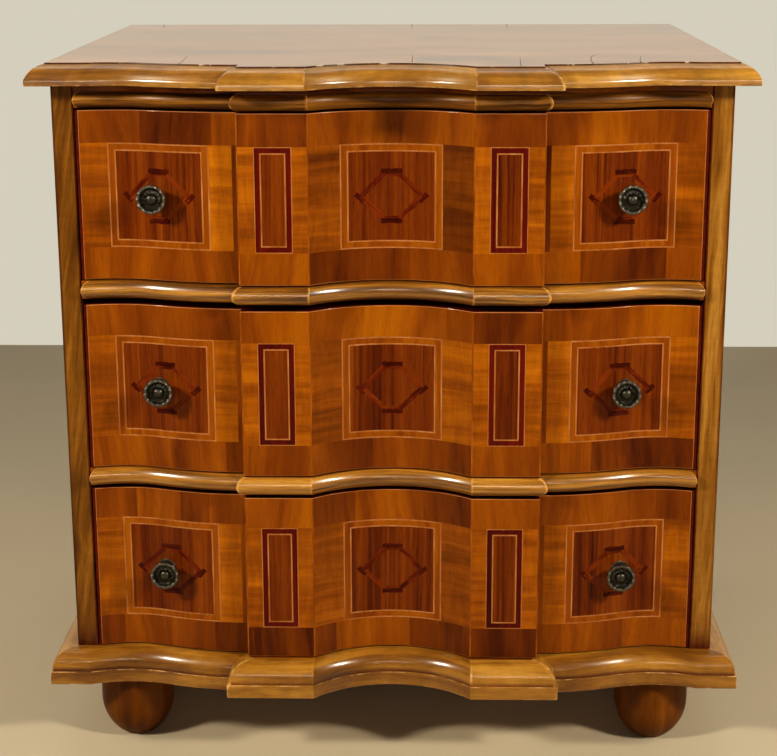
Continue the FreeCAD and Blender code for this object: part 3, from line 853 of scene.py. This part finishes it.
def inlay(x, z, z0, z1, bands):
    """Veneer at a place on a front, as (material, grain runs up, patch name, how light)."""
    across = abs(x)
    side = "left" if x < 0 else "right"
    low, high = z0 + CROSSBAND, z1 - CROSSBAND
    lines = (CENTRE_HALF, BLOCK_HALF)
    # Pale lines round the rim and along the blocks' edges: partly worn veneer, partly painted highlight of
    # the rounded edges
    if FRONT_HALF - across < EDGE_LINE or min(z - z0, z1 - z) < EDGE_LINE:
        return PEACH_ID, False, "edge", LIGHT_LEAF
    if min(abs(across - line) for line in lines) < EDGE_LINE and across < BLOCK_HALF:
        return AMBER_ID, True, "arris", LIGHT_LEAF
    if z < low or z > high:
        leaves = bands[0] if z > high else bands[1]
        leaf = next(index for index, (edge, light) in enumerate(leaves) if x < edge)
        return BAND_ID, True, ("top_" if z > high else "bottom_") + str(leaf), leaves[leaf][1]
    if across < CENTRE_HALF:
        bay, panel, rings, border = "centre", CENTRE_SQUARE, SQUARE_RINGS, RUST_ID
    elif across < BLOCK_HALF:
        bay, panel, rings, border = side + "_block", BLOCK_PANEL, PANEL_RINGS, ROSE_ID
    else:
        bay, panel, rings, border = side + "_wing", WING_SQUARE, SQUARE_RINGS, RUST_ID
    inside = min(across - panel[0], panel[1] - across, z - low, high - z)
    if inside >= 0:
        ring = sum(inside > edge for edge in rings)
        kind = (PEACH_ID, border, PEACH_ID, FIELD_ID)[ring]
        return kind, True, bay + "_panel_" + str(ring), FIELD_LEAF if kind == FIELD_ID else LIGHT_LEAF
    # The darker strip beside the step, partly painted shade
    if BLOCK_HALF < across < BLOCK_HALF + STEP_STRIP:
        return BAND_ID, True, bay + "_step", LIGHT_LEAF
    if bay == "centre":
        return GOLD_ID, False, bay + "_" + side, LIGHT_LEAF
    return GOLD_ID, False, bay + ("_outer" if across > panel[0] else "_inner"), LIGHT_LEAF


def breaks(edges, rings):
    """Edges of a panel and of the rings inside it."""
    low, high = edges
    return [low, high] + [low + ring for ring in rings] + [high - ring for ring in rings]


def fine(places, step):
    """Sorted places with extra ones so that no gap is wider than step."""
    ordered = sorted(set(round(place, 4) for place in places))
    result = ordered[:1]
    for before, here in zip(ordered, ordered[1:]):
        parts = max(1, math.ceil((here - before) / step))
        result += span(before, here, parts)[1:]
    return result


def front_stations(bands):
    """Plan of the veneered face from left to right, as place and outward offset."""
    edges = [abs(edge) for leaves in bands for edge, light in leaves]
    wing = [BLOCK_HALF + 2 * VENEER, BLOCK_HALF + STEP_STRIP]
    wing += [FRONT_HALF - EDGE_SUPPORT, FRONT_HALF - EDGE_LINE, FRONT_HALF]
    wing += breaks(WING_SQUARE, SQUARE_RINGS) + [x for x in edges if BLOCK_HALF < x < FRONT_HALF]
    block = [CENTRE_HALF, CENTRE_HALF + EDGE_LINE, BLOCK_HALF - EDGE_LINE]
    block += breaks(BLOCK_PANEL, PANEL_RINGS) + [x for x in edges if CENTRE_HALF < x < BLOCK_HALF]
    centre = [0.0, CENTRE_HALF - EDGE_LINE] + [x for x in breaks(CENTRE_SQUARE, SQUARE_RINGS) if x > 0]
    centre += [x for x in edges if x < CENTRE_HALF]
    right = [(x, carcass_line.centre(x), 0, -VENEER) for x in fine(centre, FRONT_STEP) if x < CENTRE_HALF]
    right += [(x, carcass_line.block_y, 0, -VENEER) for x in fine(block, BLOCK_STEP)]
    right.append((BLOCK_HALF, carcass_line.block_y, VENEER, -VENEER))
    right.append((BLOCK_HALF, carcass_line.swell_y, VENEER, -VENEER))
    right += [(x, carcass_line.wing(x), 0, -VENEER) for x in fine(wing, FRONT_STEP)]
    left = [(-x, y, -off_x, off_y) for x, y, off_x, off_y in reversed(right[1:])]
    return left + right


def veneer(drawer):
    """The inlaid face of one drawer as a closed skin that follows the shaped front."""
    z0, z1 = height_range(drawer + "_front")
    bands = BAND_LEAVES[drawer]
    stations = front_stations(bands)
    heights = breaks((z0, z1), (EDGE_LINE, EDGE_SUPPORT))
    heights += breaks((z0 + CROSSBAND, z1 - CROSSBAND), SQUARE_RINGS + PANEL_RINGS)
    heights = fine(heights, HEIGHT_STEP)
    z0, z1 = heights[0], heights[-1]
    shell = Shell()
    front, back = [], []
    for x, y, off_x, off_y in stations:
        column, behind = [], []
        for z in heights:
            share = EDGE_SHARE if z in (z0, z1) or abs(x) == FRONT_HALF else 1.0
            column.append(shell.point(x + off_x * share, y + off_y * share, z))
            behind.append(shell.point(x + off_x * BACK_SHARE, y + off_y * BACK_SHARE, z))
        front.append(column)
        back.append(behind)
    lengths = running_lengths([station[:2] for station in stations], 0.0)
    patches = {}
    tones = dict(zip(LEAVES, LEAF_TONES[drawer]))
    last_row, last_column = len(heights) - 1, len(stations) - 1
    for column in range(last_column):
        x = (stations[column][0] + stations[column + 1][0]) / 2
        step_face = abs(stations[column][0]) == BLOCK_HALF == abs(stations[column + 1][0])
        for row in range(last_row):
            z = (heights[row] + heights[row + 1]) / 2
            kind, upright, patch, light = inlay(x, z, z0, z1, bands)
            if step_face:
                kind, upright, patch, light = BAND_ID, True, "step", LIGHT_LEAF
            if patch not in patches:
                lean = dice.uniform(-LEAF_LEAN, LEAF_LEAN) if kind == BAND_ID else 0.0
                patches[patch] = shuffle() + (math.cos(lean), math.sin(lean))
            start, side, straight, slant = patches[patch]
            tone = tones.get(patch, light)
            corners = ((column, row), (column + 1, row), (column + 1, row + 1), (column, row + 1))
            grain = []
            for c, r in corners:
                along, over = (heights[r], lengths[c]) if upright else (lengths[c], heights[r])
                grain.append((start + along * straight - over * slant,
                              side + along * slant + over * straight))
            shell.face([front[c][r] for c, r in corners], grain, kind, tone)
            shell.face([back[c][r] for c, r in corners], grain, BAND_ID)
    rims = [((c, r), (c + 1, r), lengths[c:c + 2]) for c in range(last_column) for r in (0, last_row)]
    rims += [((c, r), (c, r + 1), heights[r:r + 2]) for r in range(last_row) for c in (0, last_column)]
    for (c0, r0), (c1, r1), (a0, a1) in rims:
        verts = (front[c0][r0], front[c1][r1], back[c1][r1], back[c0][r0])
        shell.face(verts, ((a0, 0), (a1, 0), (a1, 1), (a0, 1)), AMBER_ID)
    shell.build(drawer + "_marquetry", drawer + "_box", FACE_MATERIALS)


STRAP = 6.8
STRAP_NARROW_SHARE = 0.65
STRAP_PROUD = 0.05
STRAP_SINK = 0.3
STRAP_STEP = 3
# Lozenge and end bars, as places across and up from the middle of a square
LOZENGE = ((-9.0, 25.0), (9.0, 25.0), (34.0, 0.0), (9.0, -25.0), (-9.0, -25.0), (-34.0, 0.0))
BARS = (((-12.0, 28.0), (12.0, 28.0)), ((-12.0, -28.0), (12.0, -28.0)), ((-40.0, 3.0), (-31.0, -6.0)),
        ((40.0, 3.0), (31.0, -6.0)))


def strap(shell, middle_x, middle_z, start, end, tone):
    """A flat inlaid strip that follows the shaped front between two places of a square."""
    along = Vector(end) - Vector(start)
    across = Vector((-along.y, along.x)).normalized() * STRAP / 2
    steps = max(2, math.ceil(along.length / STRAP_STEP))
    grain_start, grain_side = shuffle()
    rows = []
    for share in span(0, 1, steps):
        row = []
        for edge in (-1, 1):
            reach = edge * dice.uniform(STRAP_NARROW_SHARE, 1.0)
            x = middle_x + start[0] + along.x * share + across.x * reach
            z = middle_z + start[1] + along.y * share + across.y * reach
            y = carcass_line.depth(abs(x)) - VENEER
            row += [shell.point(x, y - STRAP_PROUD, z), shell.point(x, y + STRAP_SINK, z)]
        rows.append(row)
    order = (0, 1, 3, 2)
    for index, (row, following) in enumerate(zip(rows, rows[1:])):
        a0, a1 = (grain_start + along.length * (index + more) / steps for more in (0, 1))
        for corner in range(4):
            here, after = order[corner], order[(corner + 1) % 4]
            c0, c1 = grain_side + STRAP * corner, grain_side + STRAP * (corner + 1)
            grain = ((a0, c0), (a0, c1), (a1, c1), (a1, c0))
            shell.face(quad(row, following, here, after), grain, tone=tone)
    for row in (rows[0], rows[-1]):
        shell.face([row[corner] for corner in order], ((0, 0), (0, 1), (1, 1), (1, 0)), tone=tone)


def strapwork(drawer):
    """Lozenge of straps in each inlaid square of a drawer."""
    middle_z = sum(height_range(drawer + "_front")) / 2
    wing_x = sum(WING_SQUARE) / 2
    shell = Shell()
    for middle_x in (-wing_x, 0.0, wing_x):
        ring = LOZENGE + LOZENGE[:1]
        for start, end in zip(ring, ring[1:]):
            strap(shell, middle_x, middle_z, start, end, dice.uniform(0.3, 0.9))
        for start, end in BARS:
            strap(shell, middle_x, middle_z, start, end, dice.uniform(0.0, 0.3))
    shell.build(drawer + "_strapwork", drawer + "_box", [strap_wood])


KNOB_X = 265.0
KNOB_SEAT = 4
KNOB_LOBES = 12
HEAD_STEPS = 96
ROSE_STEPS = 64
# Profiles of the knob's head and rose as (radius, height above the front, wear, lobe depth)
KNOB_HEAD = [
    (0, 14, 0, 0), (11.0, 14, 0, 0), (12.5, 14.6, 0, 0), (14.0, 16.0, 0.3, 0), (14.7, 17.4, 0.5, 0),
    (14.6, 18.6, 0.2, 0), (14.3, 19.8, 0, 0), (14.7, 21.0, 0, 0), (15.7, 22.6, 0.1, 0),
    (16.3, 24.2, 0.3, 0), (16.3, 25.4, 0.5, 0.2), (15.8, 26.5, 0.8, 0.9), (14.6, 27.0, 1.0, 1.3),
    (13.4, 26.7, 0.7, 1.0), (12.6, 25.6, 0.2, 0.4), (12.2, 24.0, 0.2, 0), (11.6, 22.0, 0.3, 0),
    (10.4, 21.0, 0.3, 0), (8.8, 21.2, 0.3, 0.3), (7.4, 21.8, 0.3, 0.5), (6.4, 22.0, 0, 0.2),
    (6.0, 22.8, 0, 0), (5.7, 24.0, 0.1, 0), (5.0, 25.3, 0.2, 0), (3.6, 26.2, 0.3, 0), (1.9, 26.7, 0.4, 0),
    (0, 26.9, 0.4, 0)]
KNOB_ROSE = [
    (0, 0, 0, 0), (11.6, 0, 0, 0), (12.0, 0.6, 0.3, 0), (12.0, 1.4, 0.6, 0), (11.4, 2.0, 0.6, 0),
    (10.0, 2.2, 0.2, 0), (8.4, 2.3, 0, 0), (7.0, 2.6, 0.1, 0), (5.8, 3.2, 0.2, 0), (4.8, 3.6, 0.1, 0),
    (0, 3.6, 0, 0)]


def knobs(drawer):
    """Two dished knobs with a lobed rim and a central boss, each over a rose on the shaped face."""
    middle_z = sum(height_range(drawer + "_front")) / 2
    face_y = carcass_line.wing(KNOB_X)
    fall = carcass_line.wing(KNOB_X + KNOB_SEAT) - carcass_line.wing(KNOB_X - KNOB_SEAT)
    lean = math.atan2(fall, 2 * KNOB_SEAT)
    outward = Matrix.Rotation(math.radians(90), 4, "X")
    shell = Shell()
    for side in (-1, 1):
        place = Matrix.Translation((side * KNOB_X, face_y, middle_z))
        spin = Matrix.Rotation(dice.uniform(0, 1), 4, "Z")
        lathe(shell, place @ outward @ spin, KNOB_HEAD, HEAD_STEPS, lobes=KNOB_LOBES)
        lathe(shell, place @ Matrix.Rotation(side * lean, 4, "Z") @ outward, KNOB_ROSE, ROSE_STEPS)
    shell.build(drawer + "_knob_pair", drawer + "_box", [bronze], [drawer + "_knobs"])


# The pieces of the chest

edge_moulding("top_moulding", top_line, top_section(), TOP_HALF, TOP_BACK, moulding_wood,
              {"sides": 0.5, "wings": 0.57, "blocks": 0.55, "centre": 0.6})
edge_moulding("plinth", plinth_line, plinth_section(), CARCASS_HALF, CARCASS_DEPTH, plinth_wood,
              {"sides": 0.9, "wings": 0.38, "blocks": 0.55, "centre": 0.4})
front_bead("frieze_bead", FRIEZE_PROJECTION, frieze_wood, tone=0.5)
front_bead("upper_bead", BEAD_PROJECTION, bead_wood, tone=0.45)
front_bead("lower_bead", BEAD_PROJECTION, bead_wood, tone=0.7)
turned_feet(foot_wood)
# The right stile's much lighter tone than the left's is a painted reflection
stile_board("left_stile", -1, stile_wood, tone=0.35, lean=8)
stile_board("right_stile", 1, stile_wood, tone=1.0, lean=2)
top_board([top_wood, pine["x"], quirk_shade_and_checks])
for drawer in BAND_LEAVES:
    veneer(drawer)
    strapwork(drawer)
    knobs(drawer)

# Finish of the CAD pieces by the endings of their names. The others are pine with its grain along x.
FINISHES = (
    (("_knobs", "_knob_posts"), bronze),
    (("_knob_nuts",), steel),
    (("_stile", "_side_panel"), side_wood),
    (("_board", "frieze_rail", "upper_rail", "lower_rail"), rail_wood),
    (("drawer_front",), rim_shade_wood),
    (("feet",), foot_wood),
    (("_left_side", "_right_side", "runners", "kickers", "guides", "side_rails"), pine["y"]),
)
for node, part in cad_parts.items():
    finish = next((look for endings, look in FINISHES if node.endswith(endings)), pine["x"])
    part.data.materials.clear()
    part.data.materials.append(finish)


# The studio, in metres. Its floor is faintly clouded, and ends where the photo's floor meets the wall.
FLOOR_CORNERS = [(-6, -6, 0), (6, -6, 0), (6, 1.66, 0), (-6, 1.66, 0)]
FLOOR_TINT = (175, 161, 137)
CLOUD_TINT = (171, 157, 133)
shader = Shader("floor")
place = shader.node("ShaderNodeTexCoord").outputs["Object"]
cloud = shader.noise(place, (3, 3), 3.0, 0.5)
shade = shader.ramp(cloud, [(0.3, CLOUD_TINT), (0.7, FLOOR_TINT)])
mesh = bpy.data.meshes.new("floor")
mesh.from_pydata(FLOOR_CORNERS, [], [range(len(FLOOR_CORNERS))])
mesh.materials.append(shader.finish(Base_Color=shade, Roughness=0.6))
add_object("floor", mesh)


def area_light(name, place, target, size, power, spread, tint):
    """A rectangular light that looks at a target, with its spread in degrees."""
    data = bpy.data.lights.new(name, "AREA")
    data.shape = "RECTANGLE"
    data.size, data.size_y = size
    data.energy = power
    data.spread = math.radians(spread)
    data.color = tint
    lamp = add_object(name, data)
    lamp.location = place
    lamp.rotation_euler = (Vector(target) - Vector(place)).to_track_quat("-Z", "Y").to_euler()


for name, side in (("left_key", -1), ("right_key", 1)):
    area_light(name, place=(side * 1.85, -1.45, 1.7), target=(side * 0.2, -0.25, 0.45), size=(0.32, 0.32),
               power=36, spread=140, tint=(1, 0.94, 0.8))
area_light("front_strip", place=(0, -2.6, 1.15), target=(0, -0.2, 0.75), size=(2.0, 0.12),
           power=2.2, spread=60, tint=(1, 0.95, 0.84))
area_light("ceiling_strip", place=(0, 0.55, 2.9), target=(0, 0.5, 0.8), size=(3.0, 0.16),
           power=9, spread=180, tint=(1, 0.95, 0.86))

# The room is pale behind the chest and dim in front of it.
ROOM_DIM = (0.07, 0.065, 0.055, 1)
ROOM_PALE = (0.57, 0.535, 0.445, 1)
world = bpy.data.worlds.new("studio")
world.use_nodes = True
room = world.node_tree
direction = room.nodes.new("ShaderNodeTexCoord").outputs["Generated"]
split = room.nodes.new("ShaderNodeSeparateXYZ")
room.links.new(direction, split.inputs[0])
sky = room.nodes.new("ShaderNodeValToRGB")
room.links.new(split.outputs["Y"], sky.inputs[0])
for stop, (place, tint) in zip(sky.color_ramp.elements, ((0.2, ROOM_DIM), (0.5, ROOM_PALE))):
    stop.position, stop.color = place, tint
room.links.new(sky.outputs[0], room.nodes["Background"].inputs[0])
bpy.context.scene.world = world
bpy.context.scene.view_settings.view_transform = "Standard"
bpy.context.scene.view_settings.look = "Medium High Contrast"

# Camera fitted to the photo's edges of top, stiles and plinth: place in metres, angles in degrees.
CAMERA_PLACE = (0.0388, -2.1767, 0.9881)
CAMERA_HEADING = 1.273
CAMERA_TILT = 75.59
CAMERA_ROLL = -0.174
camera_data = bpy.data.cameras.new("camera")
camera_data.sensor_fit = "HORIZONTAL"
camera_data.sensor_width = 36.0
camera_data.lens = 81.08
camera_data.shift_y = -0.0425
camera = add_object("camera", camera_data)
heading = Matrix.Rotation(math.radians(CAMERA_HEADING), 4, "Z")
tilt = Matrix.Rotation(math.radians(CAMERA_TILT), 4, "X")
roll = Matrix.Rotation(math.radians(CAMERA_ROLL), 4, "Z")
camera.matrix_world = Matrix.Translation(CAMERA_PLACE) @ (heading @ tilt @ roll)
bpy.context.scene.camera = camera
